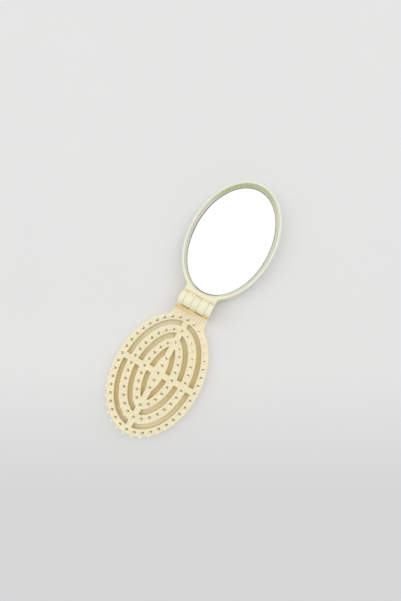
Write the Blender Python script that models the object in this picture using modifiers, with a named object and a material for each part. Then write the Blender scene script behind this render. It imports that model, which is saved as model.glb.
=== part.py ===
"""Pocket mirror comb: an oval comb with moulded pin rings, hinged to an oval hand mirror.

The comb half and the mirror half lie open and flat, joined by a five-knuckle hinge.
Units are metres, +Z is up, +Y runs from the comb to the mirror, and the origin is on
the table under the middle of the whole length.
"""

import math

import bmesh
import bpy
from mathutils import Matrix

mm = 0.001

# Whole object: the gap between pieces that are seated on each other, and how far a
# cutting shape runs past what it cuts
seat_gap = 0.3 * mm
overrun = 2.0 * mm

# Comb half: outline, then layers from the back up
comb_half_width = 30.1 * mm
comb_half_length = 42.6 * mm
back_plate_thickness = 1.1 * mm
strip_thickness = 0.7 * mm
front_web = 1.6 * mm
skirt_wall = 0.9 * mm
comb_top_round = 0.5 * mm
back_plate_round = 0.7 * mm

# Slots of the comb: the oval of the outer and of the inner edge as shares of the comb's
# half width and half length, and the powers that point the ends of those ovals
bar_half_width = 2.0 * mm
outer_slot_shares = ((0.831, 0.892), (0.724, 0.812))
middle_slot_shares = ((0.542, 0.685), (0.429, 0.599))
inner_slot_shares = ((0.249, 0.472), (0.133, 0.559))
outer_slot_powers = (2.0, 2.0)
middle_slot_powers = (1.9, 1.8)
inner_slot_powers = (1.7, 1.4)

# Rings of pins: the oval that the pins of the two smaller rings stand on, as shares of
# the comb, and how many pins stand on each
outer_ring_side_room = 0.3 * mm
middle_ring_shares = (0.633, 0.743)
inner_ring_shares = (0.342, 0.538)
middle_ring_power = 1.9
inner_ring_power = 1.8
outer_ring_count = 40
middle_ring_count = 30
inner_ring_count = 20
centre_row_count = 5
centre_row_pitch_share = 0.1256
strip_half_width = 1.2 * mm

# One pin
pin_root_radius = 0.55 * mm
pin_neck_radius = 0.45 * mm
pin_ball_radius = 0.85 * mm
pin_hole_clearance = 0.05 * mm

# Pegs that locate the comb's back plate
peg_radius = 0.8 * mm
peg_socket_depth = 0.8 * mm

# Hinge
barrel_radius = 4.9 * mm
knuckle_clearance = 0.4 * mm
knuckle_gap = 0.3 * mm
centre_knuckle_half_width = 2.2 * mm
wide_knuckle_width = 5.3 * mm
outer_knuckle_width = 3.55 * mm
neck_overlap = 1.2 * mm
land_drop = 0.3 * mm
arm_drop = 0.5 * mm
riser_land = 0.7 * mm
riser_run = 2.0 * mm
riser_inset = 0.12 * mm
riser_sink = 0.35 * mm
comb_neck_flare = 0.25 * mm
comb_neck_fillet = 8.4 * mm
mirror_neck_length = 1.1 * mm
mirror_neck_fillet = 1.6 * mm
hinge_pin_radius = 1.0 * mm
hinge_pin_clearance = 0.15 * mm
hinge_pin_inset = 0.4 * mm
hinge_pin_chamfer = 0.2 * mm
fold_clearance = 0.8 * mm

# Mirror half: how far its rim reaches past the comb's edge, then layers from the back up
rim_side_margin = 0.25 * mm
rim_end_margin = 2.5 * mm
shell_depth = 2.1 * mm
frame_floor = 1.2 * mm
pad_thickness = 0.3 * mm
glass_thickness = 1.8 * mm
glass_sink = 0.2 * mm
recess_depth = 3.5 * mm
rim_width = 1.6 * mm
ledge_width = 1.7 * mm
glass_side_gap = 0.25 * mm
glass_chamfer = 0.25 * mm
pad_margin = 2.0 * mm
rim_round = 0.5 * mm
frame_foot_round = 0.3 * mm
shell_wall = 1.1 * mm
shell_inset = 0.4 * mm
shell_flat_share = 0.55

# Facets of the round forms
outline_steps = 60
line_steps = 40
slot_steps = 8
fillet_steps = 4
round_steps = 2
barrel_steps = 20
bore_steps = 12
riser_steps = 6
pin_steps = 6
peg_steps = 8
dome_steps = 3

# Heights of the comb's layers above the table
skirt_low = back_plate_thickness + seat_gap
strip_high = skirt_low + strip_thickness
web_low = strip_high + seat_gap
comb_thickness = web_low + front_web

# Heights of the mirror's layers above the table
frame_low = shell_depth + seat_gap
floor_top = frame_low + frame_floor
pad_low = floor_top + seat_gap
glass_low = pad_low + pad_thickness + seat_gap
glass_top = glass_low + glass_thickness
ledge_height = glass_top + glass_sink
rim_top = ledge_height + recess_depth

# The hinge axis lies just over the rim, and the pins end just short of the folded glass
axis_height = rim_top + land_drop
pin_top = 2 * axis_height - glass_top - fold_clearance

# Places along the length that follow from the sizes
mirror_half_width = comb_half_width + rim_side_margin
mirror_half_length = comb_half_length + rim_end_margin
neck_face = barrel_radius + knuckle_clearance
neck_reach = mirror_half_length + mirror_neck_length
oval_distance = neck_reach + neck_face
comb_reach = oval_distance + comb_half_length
mirror_reach = oval_distance + mirror_half_length
hinge_y = (comb_reach - mirror_reach) / 2
comb_y = hinge_y - oval_distance
mirror_y = hinge_y + oval_distance
riser_front = neck_face + riser_land
riser_foot = riser_front + riser_run

# Widths of the hinge that follow from its knuckles
wide_start = centre_knuckle_half_width + knuckle_gap
wide_end = wide_start + wide_knuckle_width
outer_start = wide_end + knuckle_gap
neck_half_width = outer_start + outer_knuckle_width

# Ovals of the two halves, and of the outer ring of pins, whose strip clears the skirt
comb_oval = (comb_half_width, comb_half_length, 2.0)
mirror_oval = (mirror_half_width, mirror_half_length, 2.0)
outer_ring_inset = skirt_wall + seat_gap + strip_half_width
outer_ring_line = (comb_half_width - outer_ring_inset - outer_ring_side_room,
                   comb_half_length - outer_ring_inset, 2.0)

# Weld distance, angles under which faces count as flat or round, and how finely an
# oval is measured and a fillet is solved
WELD = 0.001 * mm
FLAT_ANGLE = math.radians(1)
SMOOTH_ANGLE = math.radians(35)
SAMPLES_PER_POINT = 40
HALVINGS = 50

# Turn that stands a side profile up: its length along Y, its height along Z and its
# thickness along X
SIDEWAYS = Matrix(((0, 0, 1, 0), (1, 0, 0, 0), (0, 1, 0, 0), (0, 0, 0, 1)))


def clear_scene():
    """Remove the objects that a new file starts with."""
    for item in list(bpy.data.objects):
        bpy.data.objects.remove(item, do_unlink=True)


def new_collection(name):
    """Collection linked to the scene."""
    collection = bpy.data.collections.new(name)
    bpy.context.scene.collection.children.link(collection)
    return collection


def new_material(name, colour, roughness, metallic=0.0):
    """Principled material of one colour."""
    material = bpy.data.materials.new(name)
    material.use_nodes = True
    shader = material.node_tree.nodes["Principled BSDF"]
    shader.inputs["Base Color"].default_value = (*colour, 1.0)
    shader.inputs["Roughness"].default_value = roughness
    shader.inputs["Metallic"].default_value = metallic
    material.diffuse_color = (*colour, 1.0)
    return material


def grown(oval, amount):
    """The oval made wider and longer all round."""
    half_width, half_length, power = oval
    return half_width + amount, half_length + amount, power


def comb_share(shares, power):
    """Oval whose half width and half length are shares of the comb's."""
    return comb_half_width * shares[0], comb_half_length * shares[1], power


def oval_point(oval, angle):
    """Point of an oval at an angle: power 2 is an ellipse, and less points the ends."""
    half_width, half_length, power = oval
    across, along = math.cos(angle), math.sin(angle)
    x = math.copysign(abs(across) ** (2 / power), across) * half_width
    y = math.copysign(abs(along) ** (2 / power), along) * half_length
    return x, y


def even_points(oval, count):
    """Points at even distances along an oval, the first at its far end."""
    samples = SAMPLES_PER_POINT * count
    fine = [oval_point(oval, math.pi / 2 + math.tau * i / samples) for i in range(samples + 1)]
    lengths = [0.0]
    for first, second in zip(fine, fine[1:]):
        lengths.append(lengths[-1] + math.dist(first, second))
    points = []
    index = 0
    for step in range(count):
        target = lengths[-1] * step / count
        while lengths[index + 1] < target:
            index += 1
        part = (target - lengths[index]) / (lengths[index + 1] - lengths[index])
        (x0, y0), (x1, y1) = fine[index], fine[index + 1]
        points.append((x0 + part * (x1 - x0), y0 + part * (y1 - y0)))
    return points


def circle_loop(radius, steps, centre=(0.0, 0.0)):
    """Loop of a circle, with flats towards the four sides."""
    angles = [math.tau * (i + 0.5) / steps for i in range(steps)]
    return [(centre[0] + radius * math.cos(a), centre[1] + radius * math.sin(a)) for a in angles]


def unit(x, y):
    """The direction x, y at length one."""
    length = math.hypot(x, y)
    return x / length, y / length


def oval_with_neck(half_width, half_length, reach, neck_half, fillet):
    """Ellipse with a straight neck towards +Y, blended into it by an arc on each side."""
    def normal_at(angle):
        return unit(math.cos(angle) / half_width, math.sin(angle) / half_length)

    def arc_centre(angle):
        normal = normal_at(angle)
        return (half_width * math.cos(angle) + fillet * normal[0],
                half_length * math.sin(angle) + fillet * normal[1])

    low, high = 0.0, math.pi / 2
    for _ in range(HALVINGS):
        tangent = (low + high) / 2
        if arc_centre(tangent)[0] > neck_half + fillet:
            low = tangent
        else:
            high = tangent
    centre = arc_centre(tangent)
    normal = normal_at(tangent)
    start = math.atan2(-normal[1], -normal[0]) + math.tau

    right = []
    half_steps = outline_steps // 2
    for i in range(half_steps + 1):
        angle = -math.pi / 2 + (tangent + math.pi / 2) * i / half_steps
        right.append((half_width * math.cos(angle), half_length * math.sin(angle)))
    for i in range(1, fillet_steps + 1):
        angle = start + (math.pi - start) * i / fillet_steps
        right.append((centre[0] + fillet * math.cos(angle), centre[1] + fillet * math.sin(angle)))
    right.append((neck_half, reach))
    left = [(-x, y) for x, y in reversed(right[1:])]
    return right + left


def facing_back(loop):
    """The loop turned to face -Y."""
    return [(x, -y) for x, y in loop]


def quadrant_slot(outside, inside, side, end):
    """Loop of one slot: between two ovals, and clear of the upright bar and the crossbar."""
    def quarter(oval):
        half_width, half_length, power = oval
        first = math.asin((bar_half_width / half_length) ** (power / 2))
        last = math.acos((bar_half_width / half_width) ** (power / 2))
        angles = [first + (last - first) * i / slot_steps for i in range(slot_steps + 1)]
        return [oval_point(oval, angle) for angle in angles]

    loop = quarter(outside) + quarter(inside)[::-1]
    return [(side * x, end * y) for x, y in loop]


def knuckle_loop(reach, facing):
    """Side profile of a knuckle: a barrel round the axis and an arm to its neck."""
    first = math.asin(-arm_drop / barrel_radius)
    last = 1.5 * math.pi
    angles = [first + (last - first) * i / barrel_steps for i in range(barrel_steps + 1)]
    loop = [(barrel_radius * math.cos(a), barrel_radius * math.sin(a)) for a in angles]
    loop += [(reach, -barrel_radius), (reach, -arm_drop)]
    return [(facing * y, z) for y, z in loop]


def riser_loop():
    """Side profile of the block that lifts the comb's knuckles off its low plate."""
    foot_height = comb_thickness - riser_sink - axis_height
    rise = -land_drop - foot_height
    loop = [(-neck_face, skirt_low - axis_height), (-neck_face, -land_drop)]
    for i in range(riser_steps + 1):
        part = i / riser_steps
        ease = part * part * (3 - 2 * part)
        loop.append((-riser_front - riser_run * part, foot_height + rise * (1 - ease)))
    loop.append((-riser_foot, skirt_low - axis_height))
    return loop


def extruded(name, loops, depth):
    """Mesh of a flat outline and its holes, extruded up from height zero."""
    curve = bpy.data.curves.new(name, "CURVE")
    curve.dimensions = "2D"
    curve.fill_mode = "BOTH"
    curve.extrude = depth / 2
    for loop in loops:
        spline = curve.splines.new("POLY")
        spline.points.add(len(loop) - 1)
        spline.use_cyclic_u = True
        for point, (x, y) in zip(spline.points, loop):
            point.co = (x, y, 0, 1)
    guide = bpy.data.objects.new(name, curve)
    bpy.context.scene.collection.objects.link(guide)
    graph = bpy.context.evaluated_depsgraph_get()
    mesh = bpy.data.meshes.new_from_object(guide.evaluated_get(graph))
    bpy.data.objects.remove(guide)
    bpy.data.curves.remove(curve)

    model = bmesh.new()
    model.from_mesh(mesh)
    bmesh.ops.remove_doubles(model, verts=model.verts, dist=WELD)
    bmesh.ops.translate(model, verts=model.verts, vec=(0, 0, depth / 2))
    bmesh.ops.recalc_face_normals(model, faces=model.faces)
    model.to_mesh(mesh)
    model.free()
    mesh.name = name
    return mesh


def round_edges(mesh, height, radius, segments):
    """Round the outline's edge at one height of an extruded mesh without holes."""
    model = bmesh.new()
    model.from_mesh(mesh)
    caps = [face for face in model.faces if abs(face.normal.z) > math.cos(FLAT_ANGLE)]
    inner = [edge for edge in model.edges
             if len(edge.link_faces) == 2 and all(face in caps for face in edge.link_faces)]
    bmesh.ops.dissolve_edges(model, edges=inner)
    edges = [edge for edge in model.edges
             if all(abs(vert.co.z - height) < WELD for vert in edge.verts)]
    bmesh.ops.bevel(model, geom=edges, affect="EDGES", offset=radius, segments=segments,
                    profile=0.5, material=-1)
    model.to_mesh(mesh)
    model.free()


def joined(name, mesh, places):
    """Mesh of one copy of a mesh at each place."""
    model = bmesh.new()
    for place in places:
        before = len(model.verts)
        model.from_mesh(mesh)
        model.verts.ensure_lookup_table()
        bmesh.ops.translate(model, verts=model.verts[before:], vec=place)
    result = bpy.data.meshes.new(name)
    model.to_mesh(result)
    model.free()
    return result


def turned(name, profile, steps):
    """Mesh turned from a profile of radii and heights, given from the top down."""
    outline = bpy.data.meshes.new(name)
    points = [(radius, 0, height) for radius, height in profile]
    outline.from_pydata(points, [(i, i + 1) for i in range(len(points) - 1)], [])
    guide = bpy.data.objects.new(name, outline)
    bpy.context.scene.collection.objects.link(guide)
    screw = guide.modifiers.new("turn", "SCREW")
    screw.steps = steps
    screw.render_steps = steps
    screw.use_merge_vertices = True
    screw.merge_threshold = WELD
    graph = bpy.context.evaluated_depsgraph_get()
    mesh = bpy.data.meshes.new_from_object(guide.evaluated_get(graph))
    bpy.data.objects.remove(guide)
    bpy.data.meshes.remove(outline)
    mesh.name = name
    return mesh


def add_part(name, mesh, material, location, parent=None):
    """Named sub-part at its place, following the parent that carries it."""
    mesh.materials.clear()
    mesh.materials.append(material)
    part = bpy.data.objects.new(name, mesh)
    part_collection.objects.link(part)
    part.location = location
    if parent is not None:
        part.parent = parent
        part.matrix_parent_inverse = Matrix.Translation(parent.location).inverted()
    return part


def add_tool(name, mesh, location, sideways=False):
    """Hidden solid that is cut from a part or joined to it."""
    tool = bpy.data.objects.new(name, mesh)
    cutter_collection.objects.link(tool)
    turn = SIDEWAYS if sideways else Matrix.Identity(4)
    tool.matrix_world = Matrix.Translation(location) @ turn
    tool.display_type = "WIRE"
    tool.hide_render = True
    return tool


def combine(part, tool, operation):
    """Cut the tool from the part, or join it on."""
    modifier = part.modifiers.new(tool.name, "BOOLEAN")
    modifier.object = tool
    modifier.operation = operation
    modifier.solver = "EXACT"


def merge_flats(part):
    """Merge the flat faces that many cuts have split."""
    merge = part.modifiers.new("merge_flats", "DECIMATE")
    merge.decimate_type = "DISSOLVE"
    merge.angle_limit = FLAT_ANGLE


def finish(part):
    """Smooth the round faces and keep the corners sharp."""
    part.data.shade_smooth()
    part.data.set_sharp_from_angle(angle=SMOOTH_ANGLE)


def knuckle_spans():
    """Spans along X of the comb's three knuckles and of the mirror's two."""
    comb_spans = [(-neck_half_width, -outer_start),
                  (-centre_knuckle_half_width, centre_knuckle_half_width),
                  (outer_start, neck_half_width)]
    mirror_spans = [(-wide_end, -wide_start), (wide_start, wide_end)]
    return comb_spans, mirror_spans


def knuckle_mesh(name, spans, facing):
    """Barrels and arms of one half's knuckles, with the bore for the hinge pin."""
    loops = [knuckle_loop(neck_face + neck_overlap, facing),
             circle_loop(hinge_pin_radius + hinge_pin_clearance, bore_steps)]
    model = bmesh.new()
    for low, high in spans:
        before = len(model.verts)
        knuckle = extruded(name, loops, high - low)
        model.from_mesh(knuckle)
        bpy.data.meshes.remove(knuckle)
        model.verts.ensure_lookup_table()
        bmesh.ops.translate(model, verts=model.verts[before:], vec=(0, 0, low))
    mesh = bpy.data.meshes.new(name)
    model.to_mesh(mesh)
    model.free()
    return mesh


def slot_ovals(shares, powers):
    """Ovals of a slot's outer and inner edge."""
    return comb_share(shares[0], powers[0]), comb_share(shares[1], powers[1])


def all_slots():
    """Loops of the slots: three in each quarter of the comb."""
    pairs = [slot_ovals(outer_slot_shares, outer_slot_powers),
             slot_ovals(middle_slot_shares, middle_slot_powers),
             slot_ovals(inner_slot_shares, inner_slot_powers)]
    return [quadrant_slot(outside, inside, side, end)
            for outside, inside in pairs for side in (-1, 1) for end in (-1, 1)]


def centre_row_places():
    """Places of the pins on the centre bar."""
    middle = (centre_row_count - 1) / 2
    pitch = comb_half_length * centre_row_pitch_share
    return [(0.0, (i - middle) * pitch) for i in range(centre_row_count)]


def ring_lines():
    """Ovals that the pins stand on, from the outer ring to the inner one."""
    return (outer_ring_line, comb_share(middle_ring_shares, middle_ring_power),
            comb_share(inner_ring_shares, inner_ring_power))


def pin_places():
    """Places of all the pins on the comb's face."""
    counts = (outer_ring_count, middle_ring_count, inner_ring_count)
    places = centre_row_places()
    for line, count in zip(ring_lines(), counts):
        places += even_points(line, count)
    return places


def peg_places():
    """Places of the pegs: where the bars cross the outer slots."""
    outside, inside = slot_ovals(outer_slot_shares, outer_slot_powers)
    across = (outside[0] + inside[0]) / 2
    along = (outside[1] + inside[1]) / 2
    return [(-across, 0.0), (across, 0.0), (0.0, -along), (0.0, along)]


def comb_front_plate(material):
    """Pierced face of the comb, with its skirt, neck, riser and three knuckles."""
    neck_half = neck_half_width + comb_neck_flare
    outline = oval_with_neck(comb_half_width, comb_half_length, oval_distance - riser_front,
                             neck_half, comb_neck_fillet)
    height = comb_thickness - skirt_low
    mesh = extruded("comb_front_plate", [outline], height)
    round_edges(mesh, height, comb_top_round, round_steps)
    part = add_part("comb_front_plate", mesh, material, (0, comb_y, skirt_low))

    riser_half = neck_half_width - riser_inset
    riser = extruded("riser", [riser_loop()], 2 * riser_half)
    combine(part, add_tool("riser", riser, (-riser_half, hinge_y, axis_height), True), "UNION")
    knuckles = knuckle_mesh("comb_knuckles", knuckle_spans()[0], -1)
    combine(part, add_tool("comb_knuckles", knuckles, (0, hinge_y, axis_height), True), "UNION")

    cavity_loop = even_points(grown(comb_oval, -skirt_wall), outline_steps)
    cavity = extruded("comb_cavity", [cavity_loop], web_low - skirt_low + overrun)
    combine(part, add_tool("comb_cavity", cavity, (0, comb_y, skirt_low - overrun)), "DIFFERENCE")

    hole_radius = pin_ball_radius + pin_hole_clearance
    holes = [circle_loop(hole_radius, pin_steps, place) for place in pin_places()]
    cuts = extruded("slots_and_holes", all_slots() + holes, front_web + 2 * overrun)
    combine(part, add_tool("slots_and_holes", cuts, (0, comb_y, web_low - overrun)), "DIFFERENCE")

    sockets = [circle_loop(peg_radius + seat_gap, peg_steps, place) for place in peg_places()]
    pockets = extruded("peg_sockets", sockets, peg_socket_depth + overrun)
    combine(part, add_tool("peg_sockets", pockets, (0, comb_y, web_low - overrun)), "DIFFERENCE")
    merge_flats(part)
    finish(part)


def comb_back_plate(material):
    """Plate that closes the comb from behind, with the four pegs that locate it."""
    neck_half = neck_half_width + comb_neck_flare
    outline = oval_with_neck(comb_half_width, comb_half_length, neck_reach,
                             neck_half, comb_neck_fillet)
    mesh = extruded("comb_back_plate", [outline], back_plate_thickness)
    round_edges(mesh, 0.0, back_plate_round, round_steps)
    part = add_part("comb_back_plate", mesh, material, (0, comb_y, 0))

    peg_low = back_plate_thickness / 2
    peg_high = web_low + peg_socket_depth - seat_gap
    pegs = extruded("pegs", [circle_loop(peg_radius, peg_steps, place) for place in peg_places()],
                    peg_high - peg_low)
    combine(part, add_tool("pegs", pegs, (0, comb_y, peg_low)), "UNION")
    finish(part)


def pin_mesh(low):
    """One pin: a tapered shaft with a ball tip, from inside its strip up."""
    ball_centre = pin_top - pin_ball_radius
    slant = pin_ball_radius * math.sqrt(0.5)
    neck_drop = math.sqrt(pin_ball_radius ** 2 - pin_neck_radius ** 2)
    profile = [(0.0, pin_top), (slant, ball_centre + slant), (pin_ball_radius, ball_centre),
               (pin_neck_radius, ball_centre - neck_drop), (pin_root_radius, low), (0.0, low)]
    return turned("pin", profile, pin_steps)


def pin_ring(name, loops, places, material):
    """Strip under the comb's face with the pins moulded on it."""
    part = add_part(name, extruded(name, loops, strip_thickness), material,
                    (0, comb_y, skirt_low))
    low = skirt_low + strip_thickness / 2
    pins = joined(name + "_pins", pin_mesh(low), [(x, y, 0) for x, y in places])
    combine(part, add_tool(name + "_pins", pins, (0, comb_y, 0)), "UNION")
    finish(part)


def oval_pin_ring(name, line, count, material):
    """Ring of pins that stand at even distances on an oval."""
    loops = [even_points(grown(line, strip_half_width), line_steps),
             even_points(grown(line, -strip_half_width), line_steps)]
    pin_ring(name, loops, even_points(line, count), material)


def centre_pin_row(material):
    """Row of pins on a straight strip with round ends."""
    places = centre_row_places()
    end = places[-1][1]
    cap = [math.pi * i / slot_steps for i in range(slot_steps + 1)]
    loop = [(strip_half_width * math.cos(a), end + strip_half_width * math.sin(a)) for a in cap]
    loop += [(-x, -y) for x, y in loop]
    pin_ring("centre_pin_row", [loop], places, material)


def hinge_pin(material):
    """Steel pin through the five knuckles."""
    length = 2 * (neck_half_width - hinge_pin_inset)
    mesh = extruded("hinge_pin", [circle_loop(hinge_pin_radius, bore_steps)], length)
    round_edges(mesh, length, hinge_pin_chamfer, 1)
    round_edges(mesh, 0.0, hinge_pin_chamfer, 1)
    mesh.transform(SIDEWAYS)
    part = add_part("hinge_pin", mesh, material, (-length / 2, hinge_y, axis_height))
    finish(part)


def recess_oval():
    """Inside of the mirror's rim."""
    return grown(mirror_oval, -rim_width)


def glass_oval():
    """Edge of the mirror's glass."""
    return grown(recess_oval(), -ledge_width)


def mirror_frame(material, axis):
    """Deep oval frame with the glass recess, its neck and two knuckles."""
    outline = oval_with_neck(mirror_half_width, mirror_half_length, neck_reach,
                             neck_half_width, mirror_neck_fillet)
    height = rim_top - frame_low
    mesh = extruded("mirror_frame", [facing_back(outline)], height)
    round_edges(mesh, height, rim_round, round_steps)
    round_edges(mesh, 0.0, frame_foot_round, 1)
    part = add_part("mirror_frame", mesh, material, (0, mirror_y, frame_low), axis)

    knuckles = knuckle_mesh("mirror_knuckles", knuckle_spans()[1], 1)
    combine(part, add_tool("mirror_knuckles", knuckles, (0, hinge_y, axis_height), True), "UNION")

    recess = extruded("mirror_recess", [even_points(recess_oval(), outline_steps)],
                      recess_depth + overrun)
    combine(part, add_tool("mirror_recess", recess, (0, mirror_y, ledge_height)), "DIFFERENCE")
    pocket_loop = even_points(grown(glass_oval(), glass_side_gap), outline_steps)
    pocket = extruded("glass_pocket", [pocket_loop], rim_top - floor_top + overrun)
    combine(part, add_tool("glass_pocket", pocket, (0, mirror_y, floor_top)), "DIFFERENCE")
    finish(part)


def mirror_glass(material, axis):
    """Oval glass with a ground edge."""
    mesh = extruded("mirror_glass", [even_points(glass_oval(), outline_steps)], glass_thickness)
    round_edges(mesh, glass_thickness, glass_chamfer, 1)
    part = add_part("mirror_glass", mesh, material, (0, mirror_y, glass_low), axis)
    finish(part)


def glass_pad(material, axis):
    """Adhesive pad between the glass and the frame's floor."""
    loop = even_points(grown(glass_oval(), -pad_margin), line_steps)
    mesh = extruded("glass_pad", [loop], pad_thickness)
    add_part("glass_pad", mesh, material, (0, mirror_y, pad_low), axis)


def mirror_back_shell(material, axis):
    """Domed shell behind the mirror, with the flat patch that it lies on."""
    shell_oval = grown(mirror_oval, -shell_inset)
    model = bmesh.new()
    loop = even_points(shell_oval, outline_steps)
    verts = [model.verts.new((x, y, shell_depth)) for x, y in loop]
    edges = [model.edges.new((verts[i - 1], verts[i])) for i in range(len(verts))]
    share = 1.0
    height = shell_depth
    for step in range(1, dome_steps + 1):
        angle = math.pi / 2 * step / dome_steps
        next_share = shell_flat_share + (1 - shell_flat_share) * math.cos(angle)
        next_height = shell_depth * (1 - math.sin(angle))
        ring = bmesh.ops.extrude_edge_only(model, edges=edges)["geom"]
        edges = [item for item in ring if isinstance(item, bmesh.types.BMEdge)]
        verts = [item for item in ring if isinstance(item, bmesh.types.BMVert)]
        bmesh.ops.scale(model, verts=verts, vec=(next_share / share, next_share / share, 1))
        bmesh.ops.translate(model, verts=verts, vec=(0, 0, next_height - height))
        share, height = next_share, next_height
    flat = bmesh.ops.contextual_create(model, geom=edges)["faces"]
    bmesh.ops.recalc_face_normals(model, faces=model.faces)
    if flat[0].normal.z > 0:
        bmesh.ops.reverse_faces(model, faces=model.faces)
    mesh = bpy.data.meshes.new("mirror_back_shell")
    model.to_mesh(mesh)
    model.free()
    part = add_part("mirror_back_shell", mesh, material, (0, mirror_y, 0), axis)
    wall = part.modifiers.new("wall", "SOLIDIFY")
    wall.thickness = shell_wall
    wall.offset = -1.0
    above = extruded("shell_trim", [even_points(grown(shell_oval, overrun), line_steps)],
                     shell_wall + overrun)
    combine(part, add_tool("shell_trim", above, (0, mirror_y, shell_depth)), "DIFFERENCE")
    finish(part)


def hinge_axis():
    """Empty on the hinge axis, which carries the mirror half."""
    axis = bpy.data.objects.new("mirror_fold_axis", None)
    axis.empty_display_size = barrel_radius
    part_collection.objects.link(axis)
    axis.location = (0, hinge_y, axis_height)
    return axis


def build():
    """Make every sub-part of both halves."""
    cream = new_material("cream_plastic", (0.93, 0.84, 0.63), 0.38)
    pin_cream = new_material("pin_plastic", (0.95, 0.88, 0.70), 0.30)
    ivory = new_material("ivory_plastic", (0.80, 0.82, 0.66), 0.34)
    steel = new_material("pin_steel", (0.62, 0.61, 0.58), 0.30, 1.0)
    silvered = new_material("silvered_glass", (0.92, 0.93, 0.93), 0.03, 1.0)
    foam = new_material("adhesive_foam", (0.85, 0.85, 0.82), 0.90)

    comb_front_plate(cream)
    comb_back_plate(cream)
    outer_line, middle_line, inner_line = ring_lines()
    oval_pin_ring("outer_pin_ring", outer_line, outer_ring_count, pin_cream)
    oval_pin_ring("middle_pin_ring", middle_line, middle_ring_count, pin_cream)
    oval_pin_ring("inner_pin_ring", inner_line, inner_ring_count, pin_cream)
    centre_pin_row(pin_cream)
    hinge_pin(steel)

    axis = hinge_axis()
    mirror_frame(ivory, axis)
    mirror_glass(silvered, axis)
    glass_pad(foam, axis)
    mirror_back_shell(ivory, axis)


clear_scene()
part_collection = new_collection("pocket_mirror_comb")
cutter_collection = new_collection("cutters")
build()
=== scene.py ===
"""Looks of a folding pocket mirror comb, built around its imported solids.

The comb half and the mirror half lie open on a pale table. Lengths are in metres, +Z is
up and +Y runs from the comb to the mirror.
"""

import math

import bmesh
import bpy
from mathutils import Matrix, Vector


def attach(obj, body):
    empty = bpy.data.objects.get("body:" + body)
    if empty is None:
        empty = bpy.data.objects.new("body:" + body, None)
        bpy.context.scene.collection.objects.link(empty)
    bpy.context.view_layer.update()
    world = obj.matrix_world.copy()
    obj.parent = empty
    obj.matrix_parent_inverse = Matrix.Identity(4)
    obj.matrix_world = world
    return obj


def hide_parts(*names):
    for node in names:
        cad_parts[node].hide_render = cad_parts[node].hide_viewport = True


mm = 0.001
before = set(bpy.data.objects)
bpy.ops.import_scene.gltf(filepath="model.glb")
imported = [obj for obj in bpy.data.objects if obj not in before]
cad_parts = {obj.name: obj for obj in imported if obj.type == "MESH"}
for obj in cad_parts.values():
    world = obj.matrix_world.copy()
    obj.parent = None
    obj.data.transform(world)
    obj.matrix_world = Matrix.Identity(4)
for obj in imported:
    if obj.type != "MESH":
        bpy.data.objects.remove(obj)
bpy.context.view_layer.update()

# Comb half
hinge_y = -1.25 * mm
oval_distance = 51.5 * mm
comb_y = hinge_y - oval_distance
mirror_y = hinge_y + oval_distance
comb_oval = (30.1 * mm, 42.6 * mm, 2.0)
cover_depth = 1.1 * mm
skirt_low = 1.4 * mm
strip_high = 2.1 * mm
web_low = 2.4 * mm
face_height = 4.0 * mm
face_round = 0.7 * mm
cover_round = 0.7 * mm
skirt_wall = 0.9 * mm
bar_half_width = 2.0 * mm
slot_edges = (
    ((25.1 * mm, 38.0 * mm, 2.0), (21.7 * mm, 34.6 * mm, 2.0)),
    ((16.3 * mm, 29.2 * mm, 1.9), (13.1 * mm, 25.7 * mm, 1.8)),
    ((7.65 * mm, 19.8 * mm, 1.75), (4.25 * mm, 13.6 * mm, 2.0)),
)
slot_corner = 0.3 * mm
slot_flare = 0.18 * mm
hole_radius = 0.8 * mm
hole_flare = 0.12 * mm

# Rings of pins: the oval they stand on and how many stand there
pin_rings = {
    "outer_pins": ("outer_pin_ring", (27.4 * mm, 40.2 * mm, 2.0), 40),
    "middle_pins": ("middle_pin_ring", (19.05 * mm, 31.65 * mm, 1.9), 30),
    "inner_pins": ("inner_pin_ring", (10.3 * mm, 22.9 * mm, 1.8), 20),
}
centre_count = 5
centre_pitch = 5.35 * mm
strip_half_width = 1.2 * mm
pin_foot = 1.75 * mm
pin_top = 13.5 * mm
ball_radius = 0.85 * mm
pin_neck_radius = 0.37 * mm
pin_root_radius = 0.44 * mm

# Hinge
axis_height = 10.3 * mm
barrel_radius = 4.9 * mm
neck_face = 5.3 * mm
neck_half_width = 11.65 * mm
comb_neck_half = 11.9 * mm
comb_neck_fillet = 8.4 * mm
mirror_neck_fillet = 1.6 * mm
neck_overlap = 1.2 * mm
arm_drop = 0.5 * mm
land_drop = 0.3 * mm
riser_gap = 0.05 * mm
riser_front = 6.0 * mm
riser_run = 2.0 * mm
riser_half_width = 11.53 * mm
riser_sink = 0.35 * mm
seat_depth = 4.7 * mm
seat_start = math.radians(225)
comb_knuckles = ((-11.65 * mm, -8.01 * mm), (-2.29 * mm, 2.29 * mm), (8.01 * mm, 11.65 * mm))
mirror_knuckles = ((-7.89 * mm, -2.41 * mm), (2.41 * mm, 7.89 * mm))
knuckle_round = 0.18 * mm
mirror_neck_extra = 0.2 * mm
bore_radius = 1.15 * mm
bore_half_length = 30 * mm
wire_radius = 1.0 * mm
wire_half_length = 11.25 * mm
wire_chamfer = 0.2 * mm

# Mirror half
mirror_oval = (30.35 * mm, 45.1 * mm, 2.0)
frame_low = 2.4 * mm
floor_top = 3.6 * mm
ledge_height = 6.5 * mm
rim_top = 10.0 * mm
rim_round = 0.7 * mm
frame_foot_round = 0.3 * mm
rim_width = 1.6 * mm
ledge_width = 1.7 * mm
recess_round = 0.45 * mm
glass_low = 4.5 * mm
glass_top = 6.3 * mm
glass_side_gap = 0.15 * mm
glass_chamfer = 0.4 * mm
shell_depth = 2.1 * mm
shell_inset = 0.4 * mm
shell_wall = 1.1 * mm
shell_flat_share = 0.55

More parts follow.
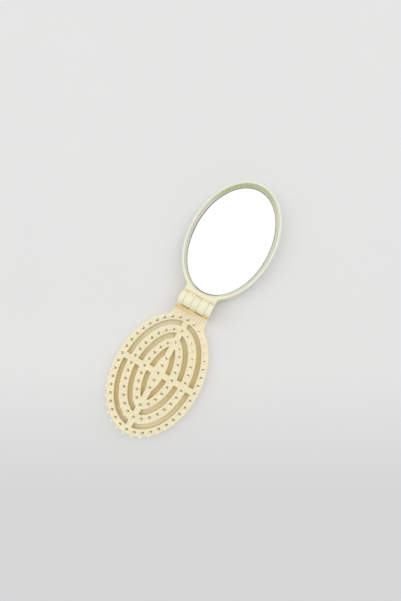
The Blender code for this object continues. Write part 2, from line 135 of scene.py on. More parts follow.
# Turns of the camera against the object
view_pitch = -0.14438
view_lean = 0.003044
view_roll = -0.50428

# How finely the shapes are drawn
OUTLINE = 180
SAMPLES = 24
EDGE_STEPS = 5
BORE_SIDES = 48
WIRE_SIDES = 40
HOLE_SIDES = 20
PIN_SIDES = 14
STRIP_POINTS = 96
SHELL_POINTS = 120

# How far a cutting tool reaches past a surface, from which angle an edge is drawn sharp, and
# how squarely a face has to look up to count as an upper face
OVER = 2.0 * mm
SHARP_ANGLE = math.radians(34)
UPWARDS = 0.9


# ---------------------------------------------------------------- outlines

def grown(oval, amount):
    """The oval made wider and longer all round."""
    return oval[0] + amount, oval[1] + amount, oval[2]


def oval_point(oval, angle):
    """Point of an oval at an angle; a power under 2 points its ends."""
    across, along = math.cos(angle), math.sin(angle)
    x = math.copysign(abs(across) ** (2 / oval[2]), across) * oval[0]
    y = math.copysign(abs(along) ** (2 / oval[2]), along) * oval[1]
    return Vector((x, y))


def oval_line(oval, count):
    """Points at even distances along an oval, the first at its far end."""
    samples = SAMPLES * count
    fine = [oval_point(oval, math.pi / 2 + math.tau * i / samples) for i in range(samples + 1)]
    return even(fine, count)


def even(fine, count, closed=True):
    """Points at even distances along a fine line; a closed line gives its end only once."""
    lengths = [0.0]
    for first, second in zip(fine, fine[1:]):
        lengths.append(lengths[-1] + (second - first).length)
    steps = count if closed else count - 1
    points, index = [], 0
    for step in range(count):
        target = lengths[-1] * step / steps
        while index < len(lengths) - 2 and lengths[index + 1] < target:
            index += 1
        part = (target - lengths[index]) / (lengths[index + 1] - lengths[index])
        points.append(fine[index].lerp(fine[index + 1], part))
    return points


def outline_with_neck(oval, reach, neck_half, fillet):
    """Ellipse with a straight neck towards +Y, blended into it by an arc on each side."""
    half_width, half_length, _ = oval

    def normal_at(angle):
        return Vector((math.cos(angle) / half_width, math.sin(angle) / half_length)).normalized()

    def centre_at(angle):
        return oval_point(oval, angle) + fillet * normal_at(angle)

    halvings = 50
    low, high = 0.0, math.pi / 2
    for _ in range(halvings):
        tangent = (low + high) / 2
        if centre_at(tangent).x > neck_half + fillet:
            low = tangent
        else:
            high = tangent
    centre, normal = centre_at(tangent), normal_at(tangent)
    start = math.atan2(-normal.y, -normal.x) + math.tau

    steps = 400
    side = [oval_point(oval, -math.pi / 2 + (tangent + math.pi / 2) * i / steps)
            for i in range(steps + 1)]
    right = even(side, OUTLINE // 2, closed=False)
    arc_steps = 14
    for i in range(1, arc_steps + 1):
        angle = start + (math.pi - start) * i / arc_steps
        right.append(centre + fillet * Vector((math.cos(angle), math.sin(angle))))
    right.append(Vector((neck_half, reach)))
    left = [Vector((-p.x, p.y)) for p in reversed(right[1:])]
    return right + left


def facing_back(loop):
    """The loop turned to face -Y."""
    return [Vector((p.x, -p.y)) for p in reversed(loop)]


def moved(loop, y):
    """The loop moved along Y."""
    return [Vector((p.x, p.y + y)) for p in loop]


def circle_line(radius, count, centre=(0.0, 0.0)):
    """Points of a circle."""
    angles = [math.tau * i / count for i in range(count)]
    return [Vector((centre[0] + radius * math.cos(a), centre[1] + radius * math.sin(a)))
            for a in angles]


def rounded_corners(loop, radius):
    """The loop with its sharp corners eased over a length on both sides.

    Each side between two corners is sampled finely, cut short by that length and thinned out.
    """
    sharp_turn = 0.5
    samples = 200
    thinning, fewest = 6, 4
    ease_steps = 6
    count = len(loop)
    corners = [i for i in range(count)
               if (loop[i] - loop[i - 1]).angle(loop[(i + 1) % count] - loop[i]) > sharp_turn]
    next_corners = corners[1:] + corners[:1]
    sides = []
    for corner, next_corner in zip(corners, next_corners):
        reach = (next_corner - corner) % count
        side = [loop[(corner + i) % count] for i in range(reach + 1)]
        fine = even(side, samples, closed=False)
        length = sum((b - a).length for a, b in zip(side, side[1:]))
        skip = round((samples - 1) * radius / length)
        sides.append(fine[skip:len(fine) - skip])
    points = []
    for side, next_side, next_corner in zip(sides, sides[1:] + sides[:1], next_corners):
        points += even(side, max(fewest, round(len(side) / thinning)), closed=False)
        first, corner, last = side[-1], loop[next_corner], next_side[0]
        for i in range(1, ease_steps):
            part = i / ease_steps
            points.append(first.lerp(corner, part).lerp(corner.lerp(last, part), part))
    return points


def slot_line(outside, inside, side, end):
    """Outline of one slot: between two ovals and clear of the two bars."""
    steps = 60

    def quarter(oval):
        first = math.asin((bar_half_width / oval[1]) ** (oval[2] / 2))
        last = math.acos((bar_half_width / oval[0]) ** (oval[2] / 2))
        return [oval_point(oval, first + (last - first) * i / steps) for i in range(steps + 1)]

    loop = quarter(outside) + quarter(inside)[::-1]
    loop = [Vector((side * p.x, end * p.y)) for p in loop]
    loop = rounded_corners(loop, slot_corner)
    return loop if side * end > 0 else loop[::-1]


def swollen(loop, amount):
    """The loop, which runs anticlockwise, moved out square to itself."""
    count = len(loop)
    points = []
    for i in range(count):
        along = (loop[(i + 1) % count] - loop[i - 1]).normalized()
        points.append(loop[i] + amount * Vector((along.y, -along.x)))
    return points


# ---------------------------------------------------------------- solids

def finished(model):
    """Mesh of a model, with its faces outwards."""
    bmesh.ops.recalc_face_normals(model, faces=model.faces)
    mesh = bpy.data.meshes.new("work")
    model.to_mesh(mesh)
    model.free()
    return mesh


def stack(model, rows):
    """Closed solid through outlines of equal count, each with its height, from the foot up."""
    place = model.verts.layers.int.get("place") or model.verts.layers.int.new("place")
    loop, height = rows[0]
    verts = [model.verts.new((p.x, p.y, height)) for p in loop]
    for i, vert in enumerate(verts):
        vert[place] = i
    face = model.faces.new(verts)
    for loop, height in rows[1:]:
        raised = bmesh.ops.extrude_face_region(model, geom=[face, *face.edges])["geom"]
        face = next(item for item in raised if isinstance(item, bmesh.types.BMFace))
        for vert in face.verts:
            vert.co = (*loop[vert[place]], height)


def rounding(radius, steps):
    """How far each row of a rounded edge lies in from the wall and below the top."""
    angles = [math.pi / 2 * i / steps for i in range(steps + 1)]
    return [(radius * (1 - math.cos(a)), radius * (1 - math.sin(a))) for a in angles]


def slab(loop, low, high, top_round=0.0, foot_round=0.0):
    """Solid over an outline, with rounded edges."""
    rows = []
    if foot_round:
        rows += [(swollen(loop, -inset), low + rise)
                 for inset, rise in reversed(rounding(foot_round, EDGE_STEPS))]
    else:
        rows.append((loop, low))
    if top_round:
        rows += [(swollen(loop, -inset), high - drop)
                 for inset, drop in rounding(top_round, EDGE_STEPS)]
    else:
        rows.append((loop, high))
    model = bmesh.new()
    stack(model, rows)
    return finished(model)


def opening_tool(loops, low, high, flare, steps=4, finish=1):
    """Tool that cuts openings whose upper edge is rounded and whose walls take a painted-shade
    material.
    """
    model = bmesh.new()
    for loop in loops:
        rows = [(loop, low)]
        rows += [(swollen(loop, inset), high - drop) for inset, drop in rounding(flare, steps)]
        rows.append((swollen(loop, flare), high + OVER))
        stack(model, rows)
    for face in model.faces:
        if face.calc_center_median().z < high - flare / 2:
            face.material_index = finish
    return finished(model)


def crosswise(loop, low, high, edge_round=0.0):
    """Solid between two places along X over an outline in Y and Z, with eased rims if asked."""
    model = bmesh.new()
    face = model.faces.new([model.verts.new((low, p.x, p.y)) for p in loop])
    raised = bmesh.ops.extrude_face_region(model, geom=[face])["geom"]
    verts = [item for item in raised if isinstance(item, bmesh.types.BMVert)]
    bmesh.ops.translate(model, verts=verts, vec=(high - low, 0, 0))
    if edge_round:
        tolerance = 0.0001 * mm
        bmesh.ops.recalc_face_normals(model, faces=model.faces)
        rims = [edge for edge in model.edges
                if abs(edge.verts[0].co.x - edge.verts[1].co.x) < tolerance]
        bmesh.ops.bevel(model, geom=rims, affect="EDGES", offset=edge_round, segments=4,
                        profile=0.5, material=-1, clamp_overlap=True)
    return finished(model)


def combined(base, *steps):
    """Mesh of a base after each tool is joined to it or cut from it.

    Both keep the numbers of their finishes: 0 outside, 1 within and 2 down the holes; 1 and 2
    carry painted shade.
    Slivers that the joins leave open are closed.
    """
    finish_count = 3
    collection = bpy.context.scene.collection
    for mesh in [base] + [tool for _, tool in steps]:
        for _ in range(finish_count - len(mesh.materials)):
            mesh.materials.append(None)
    work = bpy.data.objects.new("work", base)
    collection.objects.link(work)
    tools = []
    for operation, mesh in steps:
        tool = bpy.data.objects.new("tool", mesh)
        collection.objects.link(tool)
        tools.append(tool)
        step = work.modifiers.new(operation, "BOOLEAN")
        step.operation = operation
        step.object = tool
        step.solver = "EXACT"
    graph = bpy.context.evaluated_depsgraph_get()
    mesh = bpy.data.meshes.new_from_object(work.evaluated_get(graph))
    for item in tools + [work]:
        bpy.data.objects.remove(item)
    model = bmesh.new()
    model.from_mesh(mesh)
    gaps = [edge for edge in model.edges if edge.is_boundary]
    if gaps:
        bmesh.ops.holes_fill(model, edges=gaps, sides=4)
        bmesh.ops.recalc_face_normals(model, faces=model.faces)
        model.to_mesh(mesh)
    model.free()
    return mesh


def knuckle_profile(facing):
    """Side outline of a knuckle: a barrel round the axis and an arm to its neck."""
    steps = 56
    first, last = math.asin(-arm_drop / barrel_radius), 1.5 * math.pi
    angles = [first + (last - first) * i / steps for i in range(steps + 1)]
    loop = [Vector((math.cos(a), math.sin(a))) * barrel_radius for a in angles]
    reach = neck_face + neck_overlap
    loop += [Vector((reach, -barrel_radius)), Vector((reach, -arm_drop))]
    return [Vector((hinge_y + facing * p.x, axis_height + p.y)) for p in loop]


def riser_profile():
    """Side outline of the block that lifts the comb's knuckles, with a seat round the barrel."""
    steps = 20
    foot = face_height - riser_sink
    land = axis_height - land_drop
    reach = neck_face + riser_gap
    front = hinge_y - reach
    loop = [Vector((front, skirt_low)), Vector((front, axis_height - seat_depth))]
    seat_steps = 8
    seat_end = math.pi + math.asin(land_drop / reach)
    for i in range(seat_steps + 1):
        angle = seat_start + (seat_end - seat_start) * i / seat_steps
        loop.append(Vector((hinge_y + reach * math.cos(angle),
                            axis_height + reach * math.sin(angle))))
    for i in range(steps + 1):
        part = i / steps
        ease = part * part * (3 - 2 * part)
        loop.append(Vector((hinge_y - riser_front - riser_run * part,
                            foot + (land - foot) * (1 - ease))))
    loop.append(Vector((hinge_y - riser_front - riser_run, skirt_low)))
    return loop


def axis_rod(radius, half_length, count, chamfer=0.0):
    """Rod along the hinge axis."""
    loop = [p + Vector((hinge_y, axis_height)) for p in circle_line(radius, count)]
    return crosswise(loop, -half_length, half_length, chamfer)


def knuckle_steps(profile, knuckles):
    """Steps that join a half's knuckles to it and bore them for the wire."""
    steps = [("UNION", crosswise(profile, low, high, knuckle_round)) for low, high in knuckles]
    return steps + [("DIFFERENCE", axis_rod(bore_radius, bore_half_length, BORE_SIDES))]


def upper_finish(mesh, upper, others):
    """The mesh with one finish on the faces that look up and another on the rest."""
    for face in mesh.polygons:
        face.material_index = upper if face.normal.z > UPWARDS else others
    return mesh


# ---------------------------------------------------------------- finishes

# How far the bands of painted shade lie turned against the length
riser_slant = math.radians(-5)
slot_slant = math.radians(-35)
recess_slant = math.radians(-20)

# Tones of the plastics, with the painted shade and painted light laid on them
cream = (0.98, 0.89, 0.625)
# Painted light on the comb's plate just below the riser
painted_light_cream = (0.985, 0.925, 0.70)
# Painted shade down the riser and under the mirror's barrels
deep_painted_shade = (0.875, 0.71, 0.37)
light_painted_shade = (0.94, 0.80, 0.52)
pin_pale = (0.985, 0.935, 0.765)
ivory = (0.97, 0.925, 0.70)
# Painted shade in the crease between the barrels and the mirror's neck
crease_painted_shade = (0.93, 0.86, 0.62)
pale_green = (0.872, 0.888, 0.762)
# Painted shade in the comb's slots
slot_painted_shade_deep = (0.93, 0.785, 0.44)
slot_painted_shade_mid = (0.955, 0.855, 0.58)
slot_painted_shade_pale = (0.985, 0.93, 0.70)
# Painted shade in the mirror's recess
recess_painted_shade_near = (0.82, 0.81, 0.62)
recess_painted_shade_pale = (0.79, 0.795, 0.685)
recess_painted_shade_far = (0.68, 0.71, 0.50)
# Painted shade in the pin holes and on the pins' roots
hole_painted_shade = (0.25, 0.20, 0.12)

# Tones of the glass edge with its painted shade and painted reflection, the steel, the foam and
# the table with its painted shade
edge_shade_painted = (0.07, 0.07, 0.05)
edge_glint_painted = (0.78, 0.79, 0.70)
steel_dark = (0.52, 0.51, 0.49)
steel_bright = (0.68, 0.67, 0.65)
foam_shade = (0.62, 0.62, 0.60)
foam_white = (0.88, 0.88, 0.86)
table_cloud = (0.827, 0.829, 0.827)
table_pale = (0.842, 0.844, 0.842)
# Painted shade on the table's near side
table_near_painted_shade = (0.725, 0.725, 0.73)

# Tones that darken others: clouds in the plastic, bloom on the glass and scratches at its edge
clear = (1.0, 1.0, 1.0)
cloud_tint = (0.965, 0.96, 0.95)
bloom_tint = (0.985, 0.99, 0.985)
scratch_tint = (0.7, 0.7, 0.68)

# Places along the length, each with its tone; many of these tones are painted shade or painted
# light
# Comb: painted light below the riser, painted shade down the riser and towards the crease
comb_tones_painted_shade_and_light = (
    (-14.0 * mm, cream), (-9.2 * mm, painted_light_cream), (-8.1 * mm, light_painted_shade),
    (-7.4 * mm, deep_painted_shade), (-6.4 * mm, deep_painted_shade), (-4.8 * mm, ivory), (0.6 * mm, ivory),
    (2.6 * mm, crease_painted_shade))
slant_y = comb_y * math.cos(slot_slant)  # the comb's centre, seen along the slanted bands
# Painted shade in the slots, in bands slanted across the comb
slot_painted_shade_tones = (
    (slant_y - 27 * mm, slot_painted_shade_mid), (slant_y - 13 * mm, slot_painted_shade_deep),
    (slant_y + 9 * mm, slot_painted_shade_deep), (slant_y + 22 * mm, slot_painted_shade_mid),
    (slant_y + 34 * mm, slot_painted_shade_pale))
# Mirror: painted shade on the barrels' near side and in the crease by the neck; ivory turning
# pale green is the plastic's own
mirror_tones_painted_shade = (
    (-6.1 * mm, light_painted_shade), (-4.9 * mm, ivory), (0.6 * mm, ivory), (2.6 * mm, crease_painted_shade),
    (4.4 * mm, crease_painted_shade), (6.0 * mm, ivory), (22.0 * mm, pale_green))
# Painted shade on the recess walls, darkest at the far end
recess_painted_shade_tones = (
    (4.0 * mm, recess_painted_shade_near), (20.0 * mm, recess_painted_shade_pale), (71.0 * mm, recess_painted_shade_pale),
    (81.0 * mm, recess_painted_shade_far))

# Shares of a turn round the glass, each with its tone: painted shade in the dark stretches,
# painted reflection in the pale ones
edge_painted_tones = (
    (0.0, edge_shade_painted), (0.05, edge_shade_painted), (0.12, edge_glint_painted), (0.215, edge_glint_painted),
    (0.23, edge_shade_painted), (0.275, edge_shade_painted), (0.30, edge_glint_painted), (0.70, edge_glint_painted),
    (0.74, edge_shade_painted), (1.0, edge_shade_painted))

# Heights between which a pin's root darkens with painted shade in its hole
pin_shade_top = 3.8 * mm
pin_shade_foot = 3.4 * mm


def nodes_of(name):
    """New material with its shader, its nodes and the object's own coordinates."""
    material = bpy.data.materials.new(name)
    material.use_nodes = True
    tree = material.node_tree
    coordinates = tree.nodes.new("ShaderNodeTexCoord").outputs["Object"]
    return material, tree.nodes["Principled BSDF"], tree, coordinates


def add_node(tree, kind, **values):
    """Node with some of its inputs and settings given."""
    node = tree.nodes.new(kind)
    for key, value in values.items():
        if key in node.inputs:
            node.inputs[key].default_value = value
        else:
            setattr(node, key, value)
    return node


def noise(tree, coordinates, scale, detail):
    """Noise over an object's own coordinates, as they are or stretched."""
    node = add_node(tree, "ShaderNodeTexNoise", Scale=scale, Detail=detail)
    tree.links.new(coordinates, node.inputs["Vector"])
    return node.outputs["Fac"]


def tones(tree, value, stops):
    """Tones from a value, by a row of places between 0 and 1, each with its tone."""
    node = tree.nodes.new("ShaderNodeValToRGB")
    elements = node.color_ramp.elements
    elements[0].position, elements[1].position = stops[0][0], stops[-1][0]
    for place, _ in stops[1:-1]:
        elements.new(place)
    for element, (_, tone) in zip(elements, stops):
        element.color = (*tone, 1.0)
    tree.links.new(value, node.inputs["Fac"])
    return node.outputs["Color"]


def multiplied(tree, first, second):
    """One tone darkened by another."""
    mix = add_node(tree, "ShaderNodeMix", data_type="RGBA", blend_type="MULTIPLY")
    mix.inputs["Factor"].default_value = 1.0
    tree.links.new(first, mix.inputs["A"])
    tree.links.new(second, mix.inputs["B"])
    return mix.outputs["Result"]


def turning_to(tree, share, first, tone):
    """A tone that gives way to another as a share grows."""
    mix = add_node(tree, "ShaderNodeMix", data_type="RGBA")
    mix.inputs["B"].default_value = (*tone, 1.0)
    tree.links.new(share, mix.inputs["Factor"])
    tree.links.new(first, mix.inputs["A"])
    return mix.outputs["Result"]


def span(tree, value, taken, given=(0.0, 1.0)):
    """A value moved from one range to another."""
    node = add_node(tree, "ShaderNodeMapRange")
    for key, number in zip(("From Min", "From Max", "To Min", "To Max"), (*taken, *given)):
        node.inputs[key].default_value = number
    tree.links.new(value, node.inputs["Value"])
    return node.outputs["Result"]


def relief(tree, shader, height, strength, distance, under=None):
    """Bump from a height, over another bump if there is one."""
    node = add_node(tree, "ShaderNodeBump", Strength=strength, Distance=distance)
    tree.links.new(height, node.inputs["Height"])
    if under is not None:
        tree.links.new(under, node.inputs["Normal"])
    tree.links.new(node.outputs["Normal"], shader.inputs["Normal"])
    return node.outputs["Normal"]


def turned(tree, coordinates, angle):
    """Coordinates turned about Z and split into their three parts."""
    turn = add_node(tree, "ShaderNodeMapping", vector_type="POINT")
    turn.inputs["Rotation"].default_value = (0, 0, angle)
    tree.links.new(coordinates, turn.inputs["Vector"])
    split = tree.nodes.new("ShaderNodeSeparateXYZ")
    tree.links.new(turn.outputs["Vector"], split.inputs["Vector"])
    return split


def along_length(tree, split, stops):
    """Tones from a row of places along Y, each with its tone."""
    if len(stops) == 1:
        stops = [stops[0], (stops[0][0] + mm, stops[0][1])]
    first, last = stops[0][0], stops[-1][0]
    place = span(tree, split.outputs["Y"], (first, last))
    return tones(tree, place, [((y - first) / (last - first), tone) for y, tone in stops])


def moulded_plastic(name, stops, roughness, soft=0.12, below=None, turn=0.0):
    """Moulded plastic: faint clouding, a fine satin grain and uneven gloss.

    Its tone changes along the length, or at an angle to it, and below a height where
    that is given.
    """
    material, shader, tree, coordinates = nodes_of(name)
    split = turned(tree, coordinates, turn)
    # The tones along the length and below a height carry painted shade and painted light besides
    # the plastic's own tone
    tint = along_length(tree, split, stops)
    if below is not None:
        top, foot, tone = below
        under = span(tree, split.outputs["Z"], (top, foot))
        tint = turning_to(tree, under, tint, tone)
    cloud = noise(tree, coordinates, scale=90, detail=3)
    shade = tones(tree, cloud, ((0.3, cloud_tint), (0.7, clear)))
    tree.links.new(multiplied(tree, tint, shade), shader.inputs["Base Color"])
    gloss = noise(tree, coordinates, scale=240, detail=1)
    tree.links.new(span(tree, gloss, (0.1, 0.9), (roughness - 0.03, roughness + 0.05)),
                   shader.inputs["Roughness"])
    grain = noise(tree, coordinates, scale=5200, detail=2)
    fine = relief(tree, shader, grain, strength=0.25, distance=0.01 * mm)
    waves = noise(tree, coordinates, scale=160, detail=1)
    relief(tree, shader, waves, strength=0.15, distance=0.06 * mm, under=fine)
    shader.inputs["IOR"].default_value = 1.49
    shader.inputs["Subsurface Weight"].default_value = soft
    shader.inputs["Subsurface Radius"].default_value = (1.0, 0.72, 0.42)
    shader.inputs["Subsurface Scale"].default_value = 1.2 * mm
    return material


def silver():
    """Silvered glass: a clear mirror with the faintest bloom."""
    material, shader, tree, coordinates = nodes_of("silvered_face")
    bloom = noise(tree, coordinates, scale=45, detail=4)
    tree.links.new(tones(tree, bloom, ((0.3, bloom_tint), (0.7, clear))),
                   shader.inputs["Base Color"])
    tree.links.new(span(tree, bloom, (0.3, 0.7), (0.012, 0.03)), shader.inputs["Roughness"])
    shader.inputs["Metallic"].default_value = 1.0
    return material


def scratched_edge_and_painted_reflection():
    """Ground edge of the glass with fine scratches, with painted shade in some stretches and
    painted reflection in others.
    """
    material, shader, tree, coordinates = nodes_of("ground_edge_and_painted_reflection")
    centred = add_node(tree, "ShaderNodeMapping", vector_type="POINT")
    centred.inputs["Location"].default_value = (0, -mirror_y, 0)
    tree.links.new(coordinates, centred.inputs["Vector"])
    turn = add_node(tree, "ShaderNodeTexGradient", gradient_type="RADIAL")
    tree.links.new(centred.outputs["Vector"], turn.inputs["Vector"])
    tint = tones(tree, turn.outputs["Fac"], edge_painted_tones)
    scratch = noise(tree, coordinates, scale=3000, detail=3)
    worn = tones(tree, scratch, ((0.35, scratch_tint), (0.65, clear)))
    tree.links.new(multiplied(tree, tint, worn), shader.inputs["Base Color"])
    tree.links.new(span(tree, scratch, (0.3, 0.7), (0.25, 0.5)), shader.inputs["Roughness"])
    relief(tree, shader, scratch, strength=0.3, distance=0.02 * mm)
    return material


def drawn_steel():
    """Drawn wire: bright steel with fine lines round it."""
    material, shader, tree, coordinates = nodes_of("drawn_steel")
    stretch = add_node(tree, "ShaderNodeMapping")
    stretch.inputs["Scale"].default_value = (0.08, 1.0, 1.0)
    tree.links.new(coordinates, stretch.inputs["Vector"])
    lines = noise(tree, stretch.outputs["Vector"], scale=6000, detail=2)
    tree.links.new(tones(tree, lines, ((0.3, steel_dark), (0.7, steel_bright))),
                   shader.inputs["Base Color"])
    tree.links.new(span(tree, lines, (0.3, 0.7), (0.22, 0.4)), shader.inputs["Roughness"])
    relief(tree, shader, lines, strength=0.2, distance=0.01 * mm)
    shader.inputs["Metallic"].default_value = 1.0
    return material


def adhesive_foam():
    """White foam tape with open cells."""
    material, shader, tree, coordinates = nodes_of("adhesive_foam")
    cells = add_node(tree, "ShaderNodeTexVoronoi", Scale=2600.0)
    tree.links.new(coordinates, cells.inputs["Vector"])
    wall = cells.outputs["Distance"]
    tree.links.new(tones(tree, wall, ((0.1, foam_shade), (0.7, foam_white))),
                   shader.inputs["Base Color"])
    relief(tree, shader, wall, strength=0.5, distance=0.05 * mm)
    shader.inputs["Roughness"].default_value = 0.9
    return material


def table_top():
    """Pale matt table, with painted shade making it a little darker at its near side."""
    material, shader, tree, coordinates = nodes_of("table_top")
    cloud = noise(tree, coordinates, scale=6, detail=4)
    tone = tones(tree, cloud, ((0.3, table_cloud), (0.7, table_pale)))
    split = turned(tree, coordinates, view_roll)
    # Painted shade grows towards the near side
    nearer_painted_shade = span(tree, split.outputs["Y"], (-45 * mm, -120 * mm))
    tree.links.new(turning_to(tree, nearer_painted_shade, tone, table_near_painted_shade), shader.inputs["Base Color"])
    grain = noise(tree, coordinates, scale=900, detail=3)
    relief(tree, shader, grain, strength=0.05, distance=0.1 * mm)
    shader.inputs["Roughness"].default_value = 0.85
    shader.inputs["Specular IOR Level"].default_value = 0.2
    return material


# ---------------------------------------------------------------- pieces

def show(name, mesh, materials, body, nodes, even_shading=True):
    """Piece of the object, riding on a body and standing for its solids."""
    mesh.name = name
    while len(mesh.materials) > len(materials):
        mesh.materials.pop()
    for number, material in enumerate(materials):
        if number < len(mesh.materials):
            mesh.materials[number] = material
        else:
            mesh.materials.append(material)
    mesh.shade_smooth()
    mesh.set_sharp_from_angle(angle=SHARP_ANGLE)
    piece = bpy.data.objects.new(name, mesh)
    bpy.context.scene.collection.objects.link(piece)
    if even_shading:
        shading = piece.modifiers.new("even_shading", "WEIGHTED_NORMAL")
        shading.keep_sharp = True
    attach(piece, body)
    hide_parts(*nodes)
    return piece


def centre_places():
    """Places of the pins on the centre bar."""
    middle = (centre_count - 1) / 2
    return [Vector((0.0, (i - middle) * centre_pitch)) for i in range(centre_count)]


def pin_places():
    """Places of all the pins, from the comb's centre."""
    places = centre_places()
    for _, line, count in pin_rings.values():
        places += oval_line(line, count)
    return places


def comb_face():
    """Pierced face plate with its skirt, riser and three knuckles."""
    outline = moved(outline_with_neck(comb_oval, oval_distance - riser_front, comb_neck_half,
                                      comb_neck_fillet), comb_y)
    base = slab(outline, skirt_low, face_height, top_round=face_round)
    steps = [("UNION", crosswise(riser_profile(), -riser_half_width, riser_half_width,
                                 knuckle_round))]
    steps += knuckle_steps(knuckle_profile(-1), comb_knuckles)
    cavity = moved(oval_line(grown(comb_oval, -skirt_wall), OUTLINE), comb_y)
    steps.append(("DIFFERENCE", slab(cavity, skirt_low - OVER, web_low)))
    slots = [moved(slot_line(outside, inside, side, end), comb_y)
             for outside, inside in slot_edges for side in (1, -1) for end in (1, -1)]
    below = web_low - OVER / 4
    # The slot walls take the painted slot shade
    steps.append(("DIFFERENCE", opening_tool(slots, below, face_height, slot_flare)))
    holes = [moved(circle_line(hole_radius, HOLE_SIDES, place), comb_y) for place in pin_places()]
    steps.append(("DIFFERENCE", opening_tool(holes, below, face_height, hole_flare, steps=2,
                                             finish=2)))
    return combined(base, *steps)


def comb_cover():
    """Cover that closes the comb from behind; its upper faces, seen through the slots, take
    painted shade.
    """
    outline = outline_with_neck(comb_oval, oval_distance - neck_face, comb_neck_half,
                                comb_neck_fillet)
    mesh = slab(moved(outline, comb_y), 0.0, cover_depth, foot_round=cover_round)
    return upper_finish(mesh, upper=1, others=0)


def one_pin():
    """Tapered pin with a ball tip, upright at the origin."""
    ball_steps = 7
    centre = pin_top - ball_radius
    neck_angle = math.pi - math.asin(pin_neck_radius / ball_radius)
    arc = [neck_angle - neck_angle * i / ball_steps for i in range(ball_steps)]
    profile = [(0.0, pin_foot), (pin_root_radius, pin_foot), (pin_root_radius, face_height)]
    profile += [(ball_radius * math.sin(a), centre + ball_radius * math.cos(a)) for a in arc]
    profile.append((0.0, pin_top))
    model = bmesh.new()
    verts = [model.verts.new((radius, 0, height)) for radius, height in profile]
    edges = [model.edges.new(pair) for pair in zip(verts, verts[1:])]
    bmesh.ops.spin(model, geom=verts + edges, cent=(0, 0, 0), axis=(0, 0, 1), angle=math.tau,
                   steps=PIN_SIDES, use_merge=True)
    bmesh.ops.remove_doubles(model, verts=model.verts, dist=0.001 * mm)
    return finished(model)


def pins_on_strip(strip, places):
    """Strip with a pin at each place."""
    pin = one_pin()
    model = bmesh.new()
    for place in places:
        before = len(model.verts)
        model.from_mesh(pin)
        model.verts.ensure_lookup_table()
        bmesh.ops.translate(model, verts=model.verts[before:], vec=(place.x, place.y + comb_y, 0))
    return combined(strip, ("UNION", finished(model)))


def ring_strip(line):
    """Flat strip along an oval."""
    outer, inner = (moved(oval_line(grown(line, amount), STRIP_POINTS), comb_y)
                    for amount in (strip_half_width, -strip_half_width))
    hollow = slab(inner, skirt_low - OVER, strip_high + OVER)
    return combined(slab(outer, skirt_low, strip_high), ("DIFFERENCE", hollow))


def centre_strip():
    """Straight strip with round ends."""
    cap_steps = 12
    end = centre_places()[-1].y
    cap = [math.pi * i / cap_steps for i in range(cap_steps + 1)]
    loop = [Vector((strip_half_width * math.cos(a), end + strip_half_width * math.sin(a)))
            for a in cap]
    loop += [-p for p in loop]
    return slab(moved(loop, comb_y), skirt_low, strip_high)


def mirror_surround():
    """Deep oval rim round the glass, with its neck and two knuckles."""
    reach = oval_distance - neck_face + mirror_neck_extra
    outline = facing_back(outline_with_neck(mirror_oval, reach, neck_half_width,
                                            mirror_neck_fillet))
    base = slab(moved(outline, mirror_y), frame_low, rim_top, top_round=rim_round,
                foot_round=frame_foot_round)
    steps = knuckle_steps(knuckle_profile(1)[::-1], mirror_knuckles)
    recess = moved(oval_line(grown(mirror_oval, -rim_width), OUTLINE), mirror_y)
    # The recess walls take the painted recess shade
    steps.append(("DIFFERENCE", opening_tool([recess], ledge_height, rim_top, recess_round)))
    pocket_oval = grown(mirror_oval, glass_side_gap - rim_width - ledge_width)
    pocket = moved(oval_line(pocket_oval, OUTLINE), mirror_y)
    steps.append(("DIFFERENCE", slab(pocket, floor_top, rim_top + OVER)))
    return combined(base, *steps)


def mirror_plate():
    """Glass, silvered above, with a ground edge."""
    oval = grown(mirror_oval, -rim_width - ledge_width)
    loop = moved(oval_line(oval, OUTLINE), mirror_y)
    model = bmesh.new()
    stack(model, [(loop, glass_low), (loop, glass_top - glass_chamfer),
                  (swollen(loop, -glass_chamfer), glass_top)])
    return upper_finish(finished(model), upper=0, others=1)


def mirror_cover():
    """Domed cover behind the mirror, hollow, with the flat patch that it lies on."""
    oval = grown(mirror_oval, -shell_inset)
    steps = 10

    def dome(shrink, lift):
        rows = []
        for step in range(steps, -1, -1):
            angle = math.pi / 2 * step / steps
            share = shell_flat_share + (1 - shell_flat_share) * math.cos(angle)
            shape = (oval[0] * share - shrink, oval[1] * share - shrink, 2.0)
            rows.append((moved(oval_line(shape, SHELL_POINTS), mirror_y),
                         lift + (shell_depth - lift) * (1 - math.sin(angle))))
        return rows

    outer, inner = bmesh.new(), bmesh.new()
    stack(outer, dome(0.0, 0.0))
    hollow = dome(shell_wall, shell_wall)
    stack(inner, hollow + [(hollow[-1][0], shell_depth + OVER)])
    return combined(finished(outer), ("DIFFERENCE", finished(inner)))


# Comb plastic with painted light below the riser and painted shade down it
comb_cream = moulded_plastic("comb_cream_plastic", comb_tones_painted_shade_and_light, roughness=0.36,
                             turn=riser_slant)
# Painted shade for the slot walls and for the cover seen through the slots
comb_slot_shade_material = moulded_plastic("comb_slot_painted_shade_plastic", slot_painted_shade_tones, roughness=0.45,
                              turn=slot_slant)
# Painted shade on the hole walls
hole_shade = moulded_plastic("hole_shade_plastic", ((0.0, hole_painted_shade),), roughness=0.5)
# The pins' roots take painted shade in their holes
pin_cream = moulded_plastic("pin_cream_plastic", ((0.0, pin_pale),), roughness=0.34, soft=0.2,
                            below=(pin_shade_top, pin_shade_foot, hole_painted_shade))
# Mirror plastic with painted shade on the barrels and in the crease
mirror_ivory = moulded_plastic("mirror_ivory_plastic", mirror_tones_painted_shade, roughness=0.32)
# Painted shade for the recess walls
mirror_recess_shade_material = moulded_plastic("mirror_recess_painted_shade_plastic", recess_painted_shade_tones, roughness=0.4,
                                turn=recess_slant)

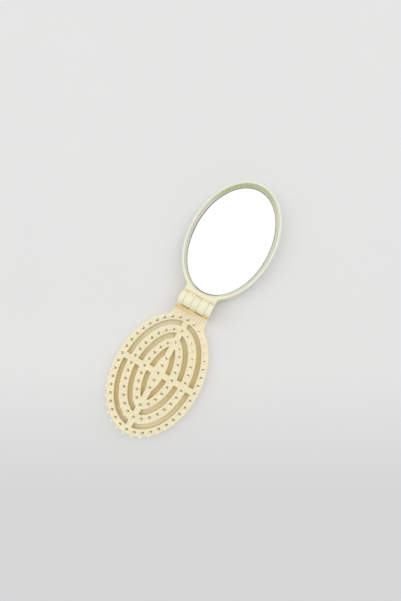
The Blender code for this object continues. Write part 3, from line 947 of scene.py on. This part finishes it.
show("comb_face", comb_face(), [comb_cream, comb_slot_shade_material, hole_shade], "comb_half",
     ["comb_front_plate"])
show("comb_cover", comb_cover(), [comb_cream, comb_slot_shade_material], "comb_half",
     ["comb_back_plate"])
for name, (node, line, count) in pin_rings.items():
    show(name, pins_on_strip(ring_strip(line), oval_line(line, count)), [pin_cream],
         "comb_half", [node])
show("centre_pins", pins_on_strip(centre_strip(), centre_places()), [pin_cream],
     "comb_half", ["centre_pin_row"])
show("hinge_wire", axis_rod(wire_radius, wire_half_length, WIRE_SIDES, chamfer=wire_chamfer),
     [drawn_steel()], "comb_half", ["hinge_pin"])
show("mirror_surround", mirror_surround(), [mirror_ivory, mirror_recess_shade_material], "mirror_half",
     ["mirror_frame"])
show("mirror_plate", mirror_plate(), [silver(), scratched_edge_and_painted_reflection()], "mirror_half",
     ["mirror_glass"], even_shading=False)
show("mirror_cover", mirror_cover(), [mirror_ivory], "mirror_half",
     ["mirror_back_shell"])
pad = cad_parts["glass_pad"]
pad.data.materials.clear()
pad.data.materials.append(adhesive_foam())


# ---------------------------------------------------------------- table, light and camera

def table(size):
    """Wide pale table."""
    model = bmesh.new()
    bmesh.ops.create_grid(model, x_segments=1, y_segments=1, size=size)
    mesh = finished(model)
    mesh.materials.append(table_top())
    top = bpy.data.objects.new("table", mesh)
    bpy.context.scene.collection.objects.link(top)


def lamp(name, place, aim, size, power, colour):
    """Soft square lamp turned to a point."""
    light = bpy.data.lights.new(name, "AREA")
    light.shape = "SQUARE"
    light.size = size
    light.energy = power
    light.color = colour
    item = bpy.data.objects.new(name, light)
    bpy.context.scene.collection.objects.link(item)
    item.location = place
    item.rotation_euler = (aim - place).to_track_quat("-Z", "Y").to_euler()


def surroundings(ambient, seen, mirrored):
    """Even light from all round, with plainer values for what is seen and mirrored."""
    world = bpy.data.worlds.new("studio")
    bpy.context.scene.world = world
    world.use_nodes = True
    tree = world.node_tree
    background = tree.nodes["Background"]
    path = tree.nodes.new("ShaderNodeLightPath")
    shine = add_node(tree, "ShaderNodeMath", operation="MAXIMUM")
    tree.links.new(path.outputs["Is Glossy Ray"], shine.inputs[0])
    tree.links.new(path.outputs["Is Transmission Ray"], shine.inputs[1])
    first = add_node(tree, "ShaderNodeMix", data_type="RGBA")
    first.inputs["A"].default_value = (*ambient, 1.0)
    first.inputs["B"].default_value = (*seen, 1.0)
    tree.links.new(path.outputs["Is Camera Ray"], first.inputs["Factor"])
    second = turning_to(tree, shine.outputs["Value"], first.outputs["Result"], mirrored)
    tree.links.new(second, background.inputs["Color"])


# The camera hangs over the hinge; its turn and place come from the rings of pins and the glass,
# in units of the length that one pixel shows at the comb's face
focal_pixels = 305
picture_height = 601
sensor_width = 36
unit = 0.66 * mm
eye_from_face = Vector((42.493, 72.343, 304.128))
view_turn = (Matrix.Rotation(view_pitch, 3, "X") @ Matrix.Rotation(view_lean, 3, "Y")
             @ Matrix.Rotation(view_roll, 3, "Z"))
view_back = view_turn.transposed()
face_centre = Vector((0, comb_y, face_height))
camera_data = bpy.data.cameras.new("camera")
camera_data.lens = focal_pixels * sensor_width / picture_height
camera_data.clip_start = 5 * mm
camera = bpy.data.objects.new("camera", camera_data)
bpy.context.scene.collection.objects.link(camera)
eye = face_centre + unit * (view_back @ eye_from_face)
camera.matrix_world = Matrix.Translation(eye) @ view_back.to_4x4()
bpy.context.scene.camera = camera

table(size=6.0)
hinge_point = Vector((0, hinge_y, 0))
box_places = {"right_box": (2.1, 1.4, 2.0), "left_box": (-2.3, 0.5, 2.1)}
for name, place in box_places.items():
    lamp(name, hinge_point + view_back @ Vector(place), hinge_point, size=2.4, power=19.0,
         colour=(1.0, 0.99, 0.97))
surroundings(ambient=(0.72, 0.72, 0.72), seen=(0.80, 0.80, 0.80), mirrored=(1.0, 1.0, 1.0))

bpy.context.scene.view_settings.view_transform = "Standard"
